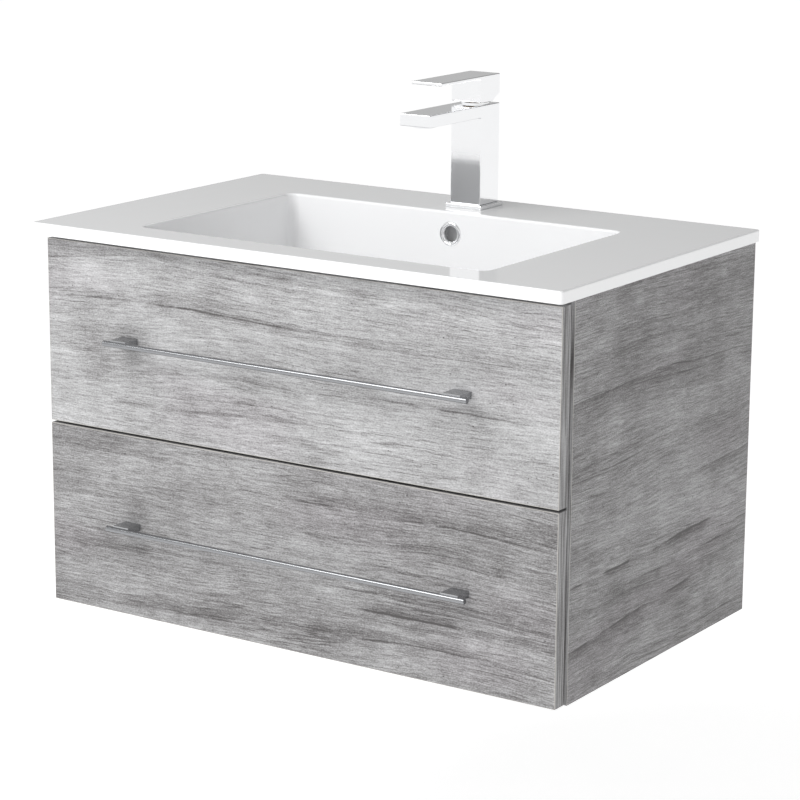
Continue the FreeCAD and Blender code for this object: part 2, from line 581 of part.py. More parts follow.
def lever():
    """The lever: a block relieved at the lower back, and a flat plate that reaches over the spout."""
    made = body("lever")
    side = sketch(made, "YZ_Plane", "-dims.faucet_side / 2")
    plate_under = f"({LEVER_UNDER} + dims.lever_block)"
    plate_top = f"({plate_under} + dims.lever_plate)"
    tip = f"({FAUCET_FRONT} - dims.lever_reach)"
    outline(side, [
        (FAUCET_FRONT, LEVER_UNDER), (f"{FAUCET_BACK} - dims.lever_relief_back", LEVER_UNDER),
        (FAUCET_BACK, f"{LEVER_UNDER} + dims.lever_relief_up"), (FAUCET_BACK, plate_top),
        (tip, plate_top), (tip, plate_under), (FAUCET_FRONT, plate_under)])
    pad(made, side, "dims.faucet_side")
    round_edges(made, "dims.metal_rounding", any_edge)
    hollow = sketch(made, "XY_Plane", LEVER_UNDER)
    wide = "dims.lever_pocket / 2"
    front, back = f"{FAUCET_Y} - dims.lever_pocket_front", f"{FAUCET_Y} + dims.lever_pocket_back"
    outline(hollow, [(f"-{wide}", front), (wide, front), (wide, back), (f"-{wide}", back)])
    pocket(made, hollow, "dims.lever_pocket_depth", up=True)
    pin_length = "(dims.pivot_half + dims.running_fit)"
    pin_hole = sketch(made, "YZ_Plane", f"-{pin_length}")
    circle(pin_hole, FAUCET_Y, PIVOT_Z, "dims.pivot_radius + dims.running_fit")
    pocket(made, pin_hole, f"2 * {pin_length}", up=True)
    keep(made)


def mixer_fixings():
    """Below the deck: the stud, its horseshoe washer and nut, and the two threaded water inlets."""
    stud_y = f"({FAUCET_Y} + dims.stud_back)"
    stud = keep(rod("faucet_stud", "z", "dims.stud_radius", "dims.stud_length", y=stud_y,
                    z=f"{TOP} - dims.stud_length"))
    washer_z = (f"{UNDER} - dims.washer_thickness", UNDER)
    disc = rod("washer_disc", "z", "dims.washer_radius", "dims.washer_thickness", y=FAUCET_Y, z=washer_z[0])
    mouth = block("washer_mouth", ("-dims.deck_hole", "dims.deck_hole"),
                  (f"{FAUCET_Y} - 2 * dims.washer_radius", f"{stud_y} - dims.stud_radius - 2"), washer_z)
    keep(cut("mounting_washer", cut("washer_horseshoe", disc, mouth), stud))
    nut = hexagon("mounting_nut_blank", "dims.nut_radius", "dims.nut_height", y=stud_y,
                  z=f"{washer_z[0]} - dims.nut_height")
    keep(cut("mounting_nut", nut, stud))
    for name, side in (("inlet_hot", "-"), ("inlet_cold", "")):
        keep(turned(name, [
            ("dims.inlet_thread", "-dims.inlet_length"), ("dims.inlet_radius", "-dims.inlet_length"),
            ("dims.inlet_radius", "0"), ("0", "0"), ("0", "-dims.inlet_floor"),
            ("dims.inlet_thread", "-dims.inlet_floor"),
        ], x=f"{side}dims.inlet_apart / 2", y=f"{FAUCET_Y} - dims.inlet_forward", z=TOP))


# Drawers

def drawer_front(name, foot):
    """A drawer front with its bar handle, two posts, their screws and the bumpers on its back."""
    middle = f"({foot} + dims.front_height / 2)"
    bar_y = f"({FACE} - dims.handle_standoff)"
    radius, bevel, end = "dims.handle_radius", "dims.handle_bevel", "dims.handle_length"
    bar = keep(turned(f"{name}_handle_bar", [
        ("0", "0"), (f"{radius} - {bevel}", "0"), (radius, bevel), (radius, f"{end} - {bevel}"),
        (f"{radius} - {bevel}", end), ("0", end),
    ], axis="x", x=f"-{end} / 2", y=bar_y, z=middle))

    post_x = "dims.post_spacing / 2"
    shank = rod(f"{name}_screw_shank", "y", "dims.screw_radius", "dims.screw_bite + dims.front_thickness",
                post_x, f"{FACE} - dims.screw_bite", middle)
    head = rod(f"{name}_screw_head", "y", "dims.screw_head", "dims.screw_head_height", post_x, FRONT_BACK,
               middle)
    screws = keep(pair(f"{name}_handle_screws", fuse(f"{name}_screw", [shank, head])))
    across = (f"{post_x} - dims.post_width / 2", f"{post_x} + dims.post_width / 2")
    up = (f"{middle} - dims.post_below", f"{middle} + dims.post_above")
    blank = block(f"{name}_post_blank", across, (bar_y, FACE), up)
    post = cut(f"{name}_post", blank, group(f"{name}_post_tools", [bar, shank]))
    keep(pair(f"{name}_handle_posts", post))

    side = f"{HALF} - dims.front_reveal"
    board = eased_board(f"{name}_front_board", (f"-({side})", side), (FACE, FRONT_BACK),
                        (foot, f"{foot} + dims.front_height"), "dims.front_rounding")
    keep(cut(f"{name}_front", board, screws))

    bumpers = []
    for end_name, z in (("foot", f"{foot} + dims.bumper_inset"),
                        ("head", f"{foot} + dims.front_height - dims.bumper_inset")):
        right = rod(f"{name}_bumper_{end_name}", "y", "dims.bumper_radius", "dims.bumper_thickness",
                    "dims.bumper_reach", FRONT_BACK, z)
        bumpers += [right, mirror(f"{name}_bumper_{end_name}_mirrored", right)]
    keep(group(f"{name}_bumpers", bumpers))


def box_sides(name, low, high):
    for side, x in (("left", (f"-{BOX_HALF}", f"-{BOX_INSIDE}")), ("right", (BOX_INSIDE, BOX_HALF))):
        keep(block(f"{name}_side_{side}", x, (FRONT_BACK, BOX_BACK), (low, high)))


def upper_drawer():
    """A U-shaped box: the notch at its back clears the basin's waste."""
    low, high = UPPER_BOX, f"({UPPER_BOX} + dims.upper_box_height)"
    box_sides("upper", low, high)
    notch = "(dims.notch_width / 2)"
    notch_wall = "(dims.notch_width / 2 + dims.box_board)"
    notch_y = f"({FRONT_BACK} + dims.notch_start - dims.box_board)"
    back_y = (f"{BOX_BACK} - dims.box_board", BOX_BACK)
    keep(block("upper_notch_front", (f"-{notch_wall}", notch_wall), (notch_y, f"{notch_y} + dims.box_board"),
               (low, high)))
    for side, sign in (("left", "-"), ("right", "")):
        inside, outside = f"{sign}{notch}", f"{sign}{notch_wall}"
        wall_x = (outside, inside) if sign else (inside, outside)
        back_x = (f"-{BOX_INSIDE}", outside) if sign else (outside, BOX_INSIDE)
        keep(block(f"upper_notch_{side}", wall_x, (f"{notch_y} + dims.box_board", BOX_BACK), (low, high)))
        keep(block(f"upper_back_{side}", back_x, back_y, (low, high)))

    made = body("upper_bottom")
    drawn = sketch(made, "XY_Plane", f"{low} + dims.bottom_rise")
    outline(drawn, [
        (f"-{BOX_INSIDE}", FRONT_BACK), (BOX_INSIDE, FRONT_BACK), (BOX_INSIDE, back_y[0]),
        (notch_wall, back_y[0]), (notch_wall, notch_y), (f"-{notch_wall}", notch_y),
        (f"-{notch_wall}", back_y[0]), (f"-{BOX_INSIDE}", back_y[0])])
    pad(made, drawn, "dims.bottom_thickness")
    keep(made)


def lower_drawer():
    low, high = LOWER_BOX, f"({LOWER_BOX} + dims.lower_box_height)"
    box_sides("lower", low, high)
    inside = (f"-{BOX_INSIDE}", BOX_INSIDE)
    keep(block("lower_back", inside, (f"{BOX_BACK} - dims.box_board", BOX_BACK), (low, high)))
    keep(block("lower_bottom", inside, (FRONT_BACK, f"{BOX_BACK} - dims.box_board"),
               (f"{low} + dims.bottom_rise", f"{low} + dims.bottom_rise + dims.bottom_thickness")))


def rolled_section(label, corners):
    """A sheet-metal section of the slide's length, on the right-hand side of the cabinet."""
    made = body(label)
    drawn = sketch(made, "XZ_Plane", f"-({SLIDE_START} + dims.slide_length)")
    outline(drawn, corners)
    pad(made, drawn, "dims.slide_length")
    return made


def channel_section(web, lip, middle, half, sheet):
    """A C section: its web at one x, its two lips reaching to another, the sheet towards the lips."""
    inward = f"{web} - {sheet}" if size(lip) < size(web) else f"{web} + {sheet}"
    top, foot = f"{middle} + {half}", f"{middle} - ({half})"
    return [(web, foot), (lip, foot), (lip, f"{foot} + {sheet}"), (inward, f"{foot} + {sheet}"),
            (inward, f"{top} - {sheet}"), (lip, f"{top} - {sheet}"), (lip, top), (web, top)]


def slides(name, middle):
    """Full-extension slides: a channel on the side panel, a middle member and a runner on the drawer."""
    channel_half = "dims.slide_half_height"
    middle_half = f"({channel_half} - dims.channel_sheet - dims.middle_play)"
    runner_half = f"({middle_half} - dims.middle_sheet - dims.runner_play)"
    middle_web = f"({INNER} - dims.channel_sheet - dims.middle_play)"
    sections = {
        "channels": (INNER, f"{INNER} - dims.channel_lip", channel_half, "dims.channel_sheet"),
        "middles": (middle_web, f"{INNER} - dims.middle_reach", middle_half, "dims.middle_sheet"),
        "runners": (BOX_HALF, f"{BOX_HALF} + dims.runner_lip", runner_half, "dims.middle_sheet"),
    }
    for member, (web, lip, half, sheet) in sections.items():
        corners = channel_section(web, lip, middle, half, sheet)
        keep(pair(f"{name}_slide_{member}", rolled_section(f"{name}_slide_{member}_right", corners)))


def build():
    cabinet()
    corner_blocks()
    overflow_parts(basin_top())
    drain()
    mixer_body()
    mixer_cartridge()
    lever()
    mixer_fixings()
    drawer_front("upper", UPPER_FRONT_FOOT)
    upper_drawer()
    slides("upper", f"({UPPER_BOX} + dims.upper_box_height / 2)")
    drawer_front("lower", LOWER_FRONT_FOOT)
    lower_drawer()
    slides("lower", f"({LOWER_BOX} + dims.lower_box_height / 2)")
    document.recompute()


def check():
    """Stop if any object failed, or a sub-part is empty, invalid or shares its label."""
    for item in document.Objects:
        if {"Invalid", "Error"} & set(item.State):
            raise RuntimeError(f"{item.Label} failed: {item.State}")
    for piece in subparts:
        if piece.Shape.isNull() or not piece.Shape.isValid() or not piece.Shape.Solids:
            raise RuntimeError(f"{piece.Label} has no valid solid")
    if len({piece.Label for piece in subparts}) != len(subparts):
        raise RuntimeError("two sub-parts share a label")


def export():
    os.makedirs("parts", exist_ok=True)
    for piece in subparts:
        piece.Shape.exportStep(f"parts/{piece.Label}.step")
        box = piece.Shape.BoundBox
        print(f"{piece.Label}: {len(piece.Shape.Solids)} solids, {piece.Shape.Volume / 1000:.1f} cm3, "
              f"x {box.XMin:.1f} to {box.XMax:.1f}, y {box.YMin:.1f} to {box.YMax:.1f}, "
              f"z {box.ZMin:.1f} to {box.ZMax:.1f}")


build()
check()
export()
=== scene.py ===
import json
import math

import bmesh
import bpy
from mathutils import Matrix, Vector

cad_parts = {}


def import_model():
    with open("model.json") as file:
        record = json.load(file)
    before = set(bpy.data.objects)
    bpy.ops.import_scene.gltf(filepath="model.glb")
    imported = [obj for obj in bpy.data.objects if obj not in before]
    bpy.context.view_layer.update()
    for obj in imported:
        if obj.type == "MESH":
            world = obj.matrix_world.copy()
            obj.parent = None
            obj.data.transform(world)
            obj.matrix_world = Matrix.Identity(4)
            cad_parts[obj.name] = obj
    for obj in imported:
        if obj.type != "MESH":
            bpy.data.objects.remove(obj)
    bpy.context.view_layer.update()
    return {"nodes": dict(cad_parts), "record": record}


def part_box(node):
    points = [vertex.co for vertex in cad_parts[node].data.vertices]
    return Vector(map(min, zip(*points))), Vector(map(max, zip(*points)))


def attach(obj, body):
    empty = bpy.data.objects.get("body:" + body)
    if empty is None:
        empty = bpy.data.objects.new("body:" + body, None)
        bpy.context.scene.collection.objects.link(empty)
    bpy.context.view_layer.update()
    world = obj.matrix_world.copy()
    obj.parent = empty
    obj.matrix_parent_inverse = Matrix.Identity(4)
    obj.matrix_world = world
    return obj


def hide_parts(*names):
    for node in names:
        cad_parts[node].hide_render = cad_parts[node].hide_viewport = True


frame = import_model()

# Metres throughout, in the part's frame: +X right, +Y towards the wall, +Z up.
MM = 0.001
nodes = frame["nodes"]


# ---------------------------------------------------------------------------------------------------------
# Node trees
# ---------------------------------------------------------------------------------------------------------

class Tree:
    """A short way to write a material's nodes. Most methods return the output socket that they make."""

    def __init__(self, name):
        self.material = bpy.data.materials.new(name)
        self.material.use_nodes = True
        self.tree = self.material.node_tree
        self.tree.nodes.clear()
        self.output = self.tree.nodes.new("ShaderNodeOutputMaterial")
        places = self.tree.nodes.new("ShaderNodeTexCoord").outputs
        self.coordinates, self.texture_normal = places["Object"], places["Normal"]

    def node(self, kind, inputs, **settings):
        made = self.tree.nodes.new("ShaderNode" + kind)
        for name, value in settings.items():
            setattr(made, name, value)
        for key, value in inputs.items():
            self.feed(made.inputs[key], value)
        return made

    def feed(self, socket, value):
        if isinstance(value, bpy.types.NodeSocket):
            self.tree.links.new(value, socket)
            return
        size = len(socket.default_value) if hasattr(socket.default_value, "__len__") else 1
        needs_alpha = size == 4 and len(value) == 3
        socket.default_value = (*value, 1) if needs_alpha else value

    def math(self, operation, a, b=0.0, c=0.0):
        return self.node("Math", {0: a, 1: b, 2: c}, operation=operation).outputs[0]

    def add(self, a, b):
        return self.math("ADD", a, b)

    def times(self, a, b):
        return self.math("MULTIPLY", a, b)

    def scaled(self, value, gain, offset=0.0):
        """value times gain plus offset."""
        return self.math("MULTIPLY_ADD", value, gain, offset)

    def swing(self, value, gain):
        """How far value is from 0.5, times gain."""
        return self.scaled(value, gain, -gain / 2)

    def largest(self, values):
        found = values[0]
        for value in values[1:]:
            found = self.math("MAXIMUM", found, value)
        return found

    def split(self, vector):
        return self.node("SeparateXYZ", {0: vector}).outputs

    def vector(self, x=0.0, y=0.0, z=0.0):
        return self.node("CombineXYZ", {0: x, 1: y, 2: z}).outputs[0]

    def stretch(self, vector, scale, offset=(0.0, 0.0, 0.0)):
        moved = self.node("VectorMath", {0: vector, 1: scale}, operation="MULTIPLY")
        return self.node("VectorMath", {0: moved.outputs[0], 1: offset}, operation="ADD").outputs[0]

    def noise(self, scales, vector=None, offset=(0.0, 0.0, 0.0), detail=2.0, roughness=0.5):
        """Smooth noise from about 0.2 to 0.8, with a mean of 0.5, and so many cells to the metre each way."""
        place = self.stretch(self.coordinates if vector is None else vector, scales, offset)
        inputs = {"Vector": place, "Scale": 1.0, "Detail": detail, "Roughness": roughness}
        return self.node("TexNoise", inputs).outputs["Fac"]

    def ease(self, value, low, high, out_low=0.0, out_high=1.0):
        """A smooth step from out_low to out_high as value goes from low to high."""
        inputs = {"Value": value, "From Min": low, "From Max": high, "To Min": out_low, "To Max": out_high}
        return self.node("MapRange", inputs, interpolation_type="SMOOTHSTEP").outputs["Result"]

    def ramp(self, value, stops):
        made = self.node("ValToRGB", {"Fac": value})
        elements = made.color_ramp.elements
        elements.remove(elements[1])
        elements[0].position, elements[0].color = stops[0][0], (*stops[0][1], 1)
        for position, colour in stops[1:]:
            elements.new(position).color = (*colour, 1)
        return made.outputs["Color"]

    def mix(self, share, a, b, blend="MIX"):
        made = self.node("Mix", {0: share}, data_type="RGBA", blend_type=blend)
        self.feed(made.inputs[6], a)
        self.feed(made.inputs[7], b)
        return made.outputs[2]

    def bump(self, height, strength, distance):
        inputs = {"Height": height, "Strength": strength, "Distance": distance}
        return self.node("Bump", inputs).outputs["Normal"]

    def surface(self, **inputs):
        """The Principled shader that ends the material. Keys are socket names with _ for a space."""
        named = {key.replace("_", " "): value for key, value in inputs.items()}
        shader = self.node("BsdfPrincipled", named)
        self.tree.links.new(shader.outputs[0], self.output.inputs["Surface"])
        return self.material


# ---------------------------------------------------------------------------------------------------------
# Materials
# ---------------------------------------------------------------------------------------------------------

# The laminate's printed greys, from its cracks to its palest fibres.
GREYS = [
    (0.0, (0.075, 0.070, 0.070)), (0.22, (0.175, 0.170, 0.171)), (0.42, (0.305, 0.302, 0.304)),
    (0.58, (0.420, 0.420, 0.424)), (0.78, (0.560, 0.562, 0.568)), (1.0, (0.700, 0.703, 0.710)),
]
VIOLET_TINT = (0.985, 0.955, 0.975)
# The colour of the painted highlight along the panels' edges.
RIM_HIGHLIGHT_COLOUR = (0.47, 0.455, 0.425)


def laminate(name, along, across, offset, marks=(), tone=0.0, rims=(), flip=1):
    """Weathered-wood laminate. The grain runs along one axis and its lines lie across another.

    offset: how far along an endless board the panel is cut, so that no two panels match.
    marks: long dark lines as (height across the grain, slope, where it starts, where it ends, depth).
    rims: the panel's edges as (axis, position), where a painted highlight shows as a thin light line on the
    edge band.
    flip: 1 where the bands darken downwards from a crisp line, -1 where they darken upwards.
    """
    t = Tree(name)
    axes = t.split(t.coordinates)
    through = 3 - along - across
    board = t.vector(t.add(axes[along], offset), axes[across], t.times(axes[through], 0.5))
    level = wandering_level(t, board, axes[across])
    grain = t.vector(t.add(axes[along], offset), level, 0.0)

    bands = t.noise((1.3, 15.0, 1.0), grain, detail=3.0, roughness=0.55)
    streaks = t.noise((7.0, 120.0, 1.0), grain, detail=3.0, roughness=0.6)
    threads = t.noise((24.0, 460.0, 1.0), grain, roughness=0.6)
    fibres = t.noise((80.0, 1700.0, 400.0), board, roughness=0.6)
    speckle = t.noise((420.0, 700.0, 400.0), board, detail=1.0)
    haze = t.noise((9.0, 14.0, 1.0), board, (2.3, 4.1, 0.0), detail=3.0)
    smudge = t.noise((34.0, 11.0, 1.0), board, (6.3, 1.1, 0.0))
    value = t.swing(bands, 0.38)
    for layer, gain in ((streaks, 0.24), (threads, 0.66), (fibres, 0.75), (speckle, 0.55), (haze, 0.42),
                        (smudge, 0.14)):
        value = t.add(value, t.swing(layer, gain))
    value = t.add(value, thin_lines(t, board, grain))
    for band in growth_bands(t, board, grain, level, flip):
        value = t.add(value, band)
    dark = t.largest(cracks(t, board, axes[along], level, marks, flip) + pits(t, board))
    value = t.add(t.add(value, tone), t.scaled(dark, -0.50, 0.58))

    tint = t.noise((4.0, 10.0, 1.0), board, (1.3, 5.1, 0.0), detail=1.0)
    colour = t.mix(t.ease(tint, 0.50, 0.70, 0.0, 0.6), t.ramp(value, GREYS), VIOLET_TINT, "MULTIPLY")
    facing = t.split(t.node("VectorMath", {0: t.texture_normal}, operation="ABSOLUTE").outputs[0])
    colour = edge_bands(t, colour, fibres, facing, along, across)
    # Painted highlight along the panel's edges.
    if rims:
        colour = painted_rim_highlights(t, colour, streaks, facing[through], axes, rims)

    height = t.add(t.add(t.times(threads, 0.6), t.times(fibres, 0.6)), t.times(dark, -0.9))
    return t.surface(Base_Color=colour, Roughness=t.scaled(threads, 0.24, 0.36),
                     Normal=t.bump(height, 0.25, 0.00035), Specular_IOR_Level=0.35)


def wandering_level(t, board, level):
    """The height across the grain, which wanders slowly, then more quickly, and last in small steps."""
    slow = t.noise((1.7, 5.0, 1.0), board, detail=1.0)
    quick = t.noise((8.0, 24.0, 1.0), board)
    small = t.noise((40.0, 90.0, 1.0), board)
    wander = t.add(t.swing(slow, 0.060), t.swing(quick, 0.010))
    return t.add(level, t.add(wander, t.swing(small, 0.0014)))


def thin_lines(t, board, grain):
    """Thin long lines, gathered in patches."""
    lines = t.noise((3.0, 150.0, 1.0), grain)
    thin = t.ease(t.math("ABSOLUTE", t.math("SUBTRACT", lines, 0.5)), 0.0, 0.024, 1.0, 0.0)
    patch = t.ease(t.noise((3.0, 14.0, 1.0), board, (8.0, 3.0, 0.0)), 0.42, 0.62)
    return t.times(t.times(thin, patch), -0.20)


def growth_bands(t, board, grain, level, flip):
    """Growth bands: a crisp line on one side, with the tone fading away from it."""
    found = []
    for spacing, fade, shade, seed in ((17.0, 2.2, 0.12, 0.0), (46.0, 1.6, 0.08, 3.7)):
        drift = t.noise((0.9, 3.0, 1.0), board, (seed, seed, 0.0), detail=1.0)
        phase = t.add(t.times(level, -spacing * flip), t.times(drift, 1.6))
        step = t.math("FRACT", t.add(phase, seed + 40.0))
        place = t.noise((2.2, spacing * 0.55, 1.0), grain, (seed, 2.0, 0.0))
        held = t.ease(place, 0.44, 0.66)
        fall = t.math("POWER", t.math("SUBTRACT", 1.0, step), fade)
        crisp = t.ease(step, 0.0, 0.05 * spacing / 17.0, 0.55, 0.0)
        found.append(t.times(t.times(t.add(fall, crisp), held), -shade))
    return found


def cracks(t, board, u, level, marks, flip):
    """Long dark cracks, broken up along their length, each with a soft dark side."""
    found = []
    for height, slope, start, end, depth in marks:
        away = t.math("SUBTRACT", t.scaled(u, slope, height), level)
        core = t.ease(t.math("ABSOLUTE", away), 0.0004, 0.0019, 1.0, 0.0)
        side = t.times(away, flip)
        shade = t.times(t.ease(side, -0.0010, 0.0006), t.ease(side, 0.0, 0.014, 0.55, 0.0))
        reach = t.times(t.ease(u, start, start + 0.06), t.ease(u, end - 0.06, end, 1.0, 0.0))
        gaps = t.noise((16.0, 3.0, 1.0), board, (height * 40.0, 0.0, 0.0), detail=3.0)
        broken = t.ease(gaps, 0.40, 0.56)
        drawn = t.add(t.times(core, broken), t.times(shade, t.scaled(broken, 0.6, 0.4)))
        found.append(t.times(drawn, t.times(reach, depth)))
    return found


def pits(t, board):
    """Small dark pits, and short ticks that stand across the grain."""
    found = []
    kinds = (((95.0, 150.0, 1.0), 0.05, 0.15, 0.86), ((260.0, 85.0, 1.0), 0.03, 0.10, 0.93))
    for scales, low, high, rarity in kinds:
        place = t.stretch(board, scales, (0.5, low, 0.0))
        cells = t.node("TexVoronoi", {"Vector": place, "Scale": 1.0})
        chance = t.split(cells.outputs["Color"])[0]
        spot = t.ease(cells.outputs["Distance"], low, high, 1.0, 0.0)
        found.append(t.times(t.times(spot, t.ease(chance, rarity, rarity + 0.05)), 0.9))
    return found


def edge_bands(t, colour, fibres, facing, along, across):
    """Edge bands run straight along each edge: upright on the ends, level on the top and foot."""
    on_top = t.ease(facing[across], 0.6, 0.8)
    on_end = t.ease(facing[along], 0.6, 0.8)
    end_streaks = t.noise(streak_scales(across), roughness=0.6)
    top_streaks = t.noise(streak_scales(along), roughness=0.6)
    value = t.add(t.times(end_streaks, on_end), t.times(top_streaks, on_top))
    band = t.ramp(t.add(t.scaled(value, 1.7, -0.47), t.swing(fibres, 0.3)), GREYS)
    return t.mix(t.math("MAXIMUM", on_top, on_end), colour, band)


def streak_scales(axis, fine=620.0, coarse=11.0):
    """Noise scales that are fine in every direction but one."""
    return tuple(coarse if index == axis else fine for index in range(3))


def painted_rim_highlights(t, colour, streaks, facing, axes, rims):
    """A painted highlight: the thin light line where an edge band meets the face, uneven along its length."""
    lines = []
    for axis, position in rims:
        near = t.math("ABSOLUTE", t.math("SUBTRACT", axes[axis], position))
        lines.append(t.ease(near, 0.0006, 0.0013, 1.0, 0.0))
    lit = t.times(t.largest(lines), t.ease(facing, 0.15, 0.5))
    return t.mix(t.times(lit, t.ease(streaks, 0.25, 0.55, 0.45, 0.85)), colour, RIM_HIGHLIGHT_COLOUR)


def even(scale):
    """The same noise scale in every direction."""
    return (scale, scale, scale)


def melamine(name, colour):
    """Plain coated board with a faint pearl-like texture."""
    t = Tree(name)
    grain = t.noise(even(900.0))
    cloud = t.noise(even(14.0), detail=3.0)
    dark = tuple(c * 0.90 for c in colour)
    tone = t.mix(t.add(t.scaled(grain, 0.5), t.scaled(cloud, 0.5)), dark, colour)
    return t.surface(Base_Color=tone, Roughness=t.scaled(grain, 0.15, 0.38),
                     Normal=t.bump(grain, 0.10, 0.0002))


def glaze():
    """Glossy white glaze, with the faint waviness of a fired surface."""
    t = Tree("white_glaze")
    wave = t.noise(even(9.0))
    cloud = t.noise(even(3.0))
    tone = t.mix(cloud, (0.885, 0.888, 0.895), (0.910, 0.913, 0.918))
    return t.surface(Base_Color=tone, Roughness=t.scaled(wave, 0.03, 0.05), Normal=t.bump(wave, 0.05, 0.002),
                     IOR=1.5, Coat_Weight=0.5, Coat_Roughness=0.02)


def metal(name, colour, roughness, spread, scratches=even(300.0)):
    """Bare or plated metal with fine marks in its polish."""
    t = Tree(name)
    marks = t.noise(scratches, detail=3.0, roughness=0.6)
    smears = t.noise(even(35.0))
    tone = t.mix(smears, tuple(c * 0.97 for c in colour), colour)
    rough = t.add(t.scaled(marks, spread, roughness - spread / 2), t.scaled(smears, spread, -spread / 2))
    return t.surface(Base_Color=tone, Metallic=1.0, Roughness=rough, Normal=t.bump(marks, 0.02, 0.0001))


def moulded(name, colour, roughness):
    """Moulded plastic or rubber with a fine matt grain."""
    t = Tree(name)
    grain = t.noise(even(1200.0))
    cloud = t.noise(even(60.0))
    tone = t.mix(cloud, tuple(c * 0.9 for c in colour), colour)
    return t.surface(Base_Color=tone, Roughness=t.scaled(grain, 0.12, roughness - 0.06),
                     Normal=t.bump(grain, 0.12, 0.0002))


X, Y, Z = 0, 1, 2


def front_rims(node):
    """The four edges of a drawer front."""
    low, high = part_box(node)
    return [(X, low[X]), (X, high[X]), (Z, low[Z]), (Z, high[Z])]


PANEL_FRONT = [(Y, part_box("side_panel_right")[0][Y])]
BRUSHED_ACROSS, ROLLED_BACKWARDS = (40.0, 900.0, 900.0), (900.0, 30.0, 900.0)
# The first tone, -0.24, is painted shade: it darkens both side panels against the fronts.
SIDE_PAINTED_SHADE, CARCASS_TONE = -0.24, -0.06
UPPER_MARKS = [
    (0.146, -0.02, -0.36, 0.06, 0.5),
    (0.040, 0.010, -0.30, 0.15, 0.3),
    (0.085, -0.03, 0.10, 0.36, 0.35),
]
LOWER_MARKS = [
    (-0.060, -0.02, -0.10, 0.37, 0.5),
    (-0.175, -0.02, 0.08, 0.40, 0.8),
    (-0.215, 0.01, -0.20, 0.30, 0.4),
]
RIGHT_MARKS = [
    (-0.085, 0.07, -0.46, -0.06, 1.0),
    (-0.150, 0.09, -0.46, -0.12, 0.7),
    (-0.120, 0.05, -0.30, 0.02, 0.5),
]
LEFT_MARKS = [(-0.02, 0.06, -0.44, -0.05, 0.8)]
MATERIALS = {
    "upper_front": laminate("laminate_upper_front", X, Z, 0.0, UPPER_MARKS, tone=-0.05,
                            rims=front_rims("upper_front"), flip=-1),
    # The lower front's tone of -0.20 is painted shade, making it darker low down where less light falls.
    "lower_front": laminate("laminate_lower_front", X, Z, 5.3, LOWER_MARKS, tone=-0.20,
                            rims=front_rims("lower_front"), flip=-1),
    "side_panel_right": laminate("laminate_side_right", Y, Z, 11.9, RIGHT_MARKS, SIDE_PAINTED_SHADE, PANEL_FRONT),
    "side_panel_left": laminate("laminate_side_left", Y, Z, 23.4, LEFT_MARKS, SIDE_PAINTED_SHADE, PANEL_FRONT),
    "carcass": laminate("laminate_carcass", X, Y, 31.7, tone=CARCASS_TONE),
    "rail": laminate("laminate_rail", X, Z, 37.2, tone=CARCASS_TONE),
    "glaze": glaze(),
    "chrome": metal("chrome", (0.89, 0.895, 0.905), 0.085, 0.03),
    "satin": metal("satin_chrome", (0.27, 0.275, 0.285), 0.20, 0.06, BRUSHED_ACROSS),
    "post": metal("satin_post", (0.40, 0.405, 0.415), 0.26, 0.08, BRUSHED_ACROSS),
    "zinc": metal("zinc_steel", (0.62, 0.63, 0.64), 0.30, 0.16, ROLLED_BACKWARDS),
    "brass": metal("brass", (0.78, 0.58, 0.30), 0.28, 0.12),
    "drawer": melamine("grey_melamine", (0.56, 0.555, 0.545)),
    "beech": melamine("beech_dowel", (0.62, 0.46, 0.30)),
    "plastic": moulded("white_plastic", (0.78, 0.78, 0.76), 0.45),
    "rubber": moulded("black_rubber", (0.03, 0.03, 0.03), 0.6),
    "bumper": moulded("clear_bumper", (0.62, 0.62, 0.62), 0.3),
}

NODE_MATERIAL = {
    "upper_front": "upper_front", "lower_front": "lower_front", "side_panel_right": "side_panel_right",
    "side_panel_left": "side_panel_left", "bottom_panel": "carcass", "corner_blocks": "carcass",
    "back_rail_upper": "rail", "back_rail_lower": "rail", "middle_rail": "rail",
    "upper_handle_bar": "satin", "lower_handle_bar": "satin",
    "upper_handle_posts": "post", "lower_handle_posts": "post",
}
SLOT_MATERIAL = {
    "dowel_wood": "beech", "drawer_board": "drawer", "basin_white": "glaze", "chrome": "chrome",
    "zinc_steel": "zinc", "brass": "brass", "white_plastic": "plastic", "rubber": "rubber",
    "clear_bumper": "bumper",
}


def dress_nodes():
    """Give every CAD node its material."""
    slots = {part["node"]: part["material_slot"] for part in frame["record"]["subparts"]}
    for name, obj in nodes.items():
        material = MATERIALS[NODE_MATERIAL.get(name) or SLOT_MATERIAL[slots[name]]]
        obj.data.materials.clear()
        obj.data.materials.append(material)


dress_nodes()


# ---------------------------------------------------------------------------------------------------------
# Fine pieces
# ---------------------------------------------------------------------------------------------------------

def revolve(made, profile, place, count):
    """Turn a closed profile of (radius, along) pairs into a ring. place says where each turned point goes."""
    rings = []
    for turn in range(count):
        angle = math.tau * turn / count
        rings.append([made.verts.new(place(radius * math.cos(angle), radius * math.sin(angle), along))
                      for radius, along in profile])
    for turn in range(count):
        here, there = rings[turn], rings[(turn + 1) % count]
        for index in range(len(profile)):
            after = (index + 1) % len(profile)
            made.faces.new((here[index], here[after], there[after], there[index]))


def add_piece(name, made, node, body, material, smooth):
    """Finish a finer piece that stands for a CAD node."""
    bmesh.ops.recalc_face_normals(made, faces=made.faces)
    mesh = bpy.data.meshes.new(name)
    made.to_mesh(mesh)
    made.free()
    mesh.materials.append(MATERIALS[material])
    for face in mesh.polygons:
        face.use_smooth = smooth
    piece = bpy.data.objects.new(name, mesh)
    bpy.context.scene.collection.objects.link(piece)
    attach(piece, body)
    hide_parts(node)


